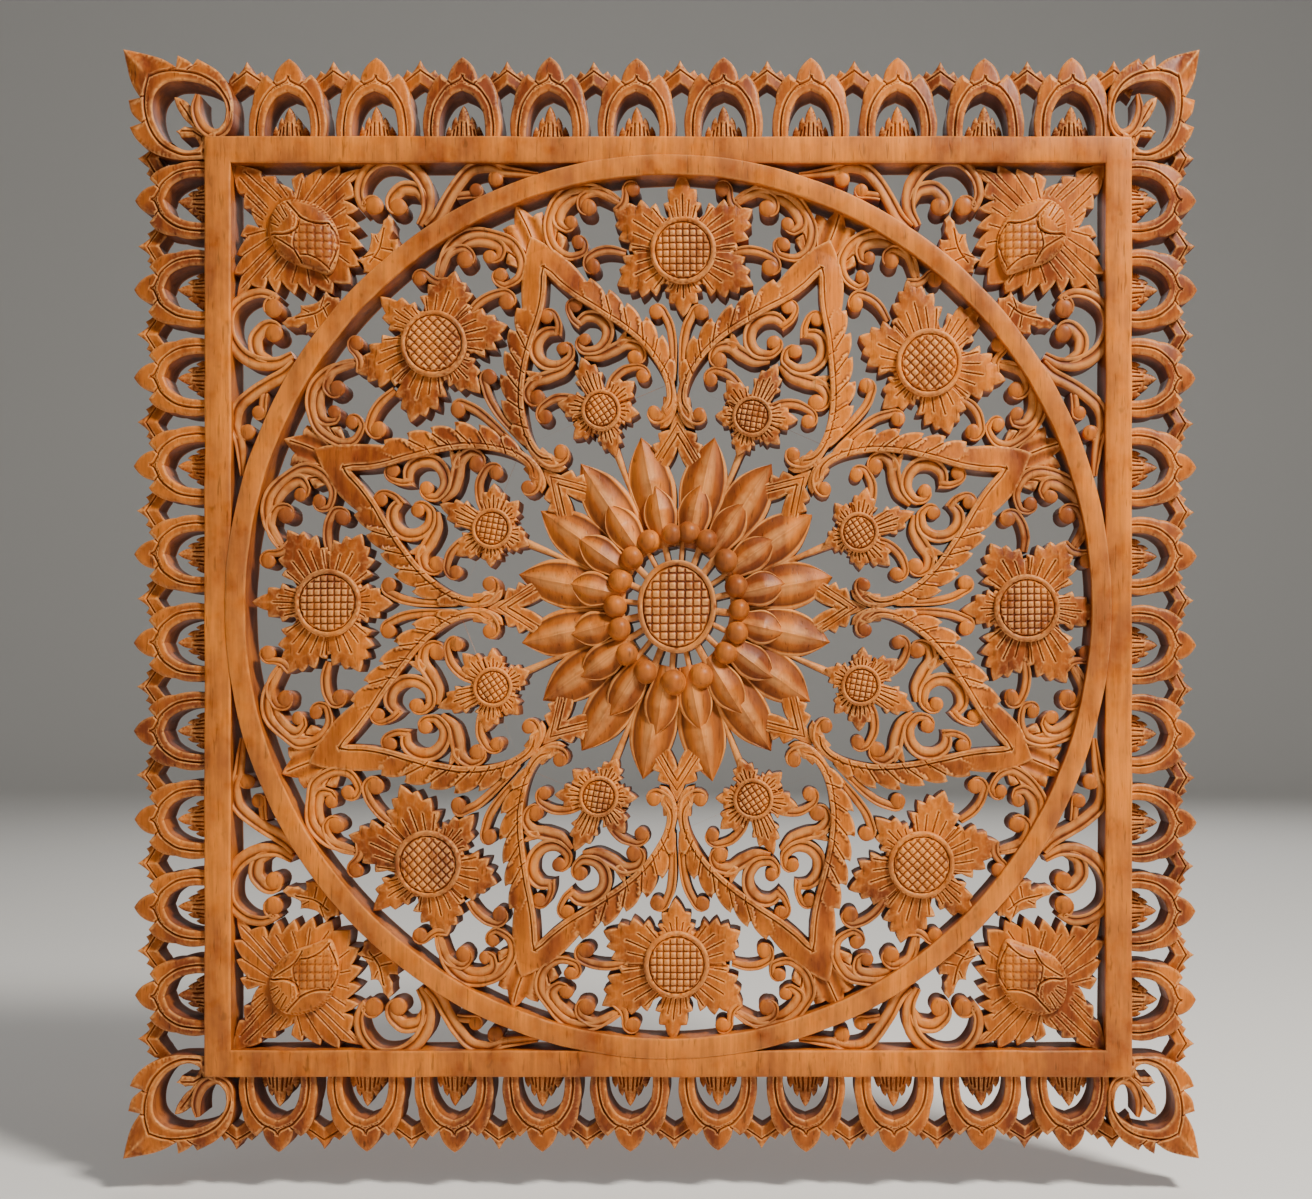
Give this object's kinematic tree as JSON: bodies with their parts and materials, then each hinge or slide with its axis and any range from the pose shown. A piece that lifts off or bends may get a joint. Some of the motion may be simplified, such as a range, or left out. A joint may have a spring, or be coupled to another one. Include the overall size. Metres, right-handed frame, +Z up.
{
  "type": "carved wall panel",
  "caption": "Square openwork wood wall panel: a fringe of pointed arches round a flat frame, a ring with flowers, leaves and scrolls inside, and a layered flower in the middle.",
  "frame": {"origin": "centre of the square frame, on the flat back that lies against the wall", "axes": "+Z up, +Y into the wall, so the carved front faces -Y, and +X to the right of someone who looks at the front"},
  "size_m": [0.9868, 0.046, 1.0173],
  "materials": {
    "carved_wood": "waxed, mottled orange-brown with dark recesses and paler worn edges"
  },
  "bodies": {
    "root": {"carved_panel": "carved_wood"}
  },
  "joints": []
}
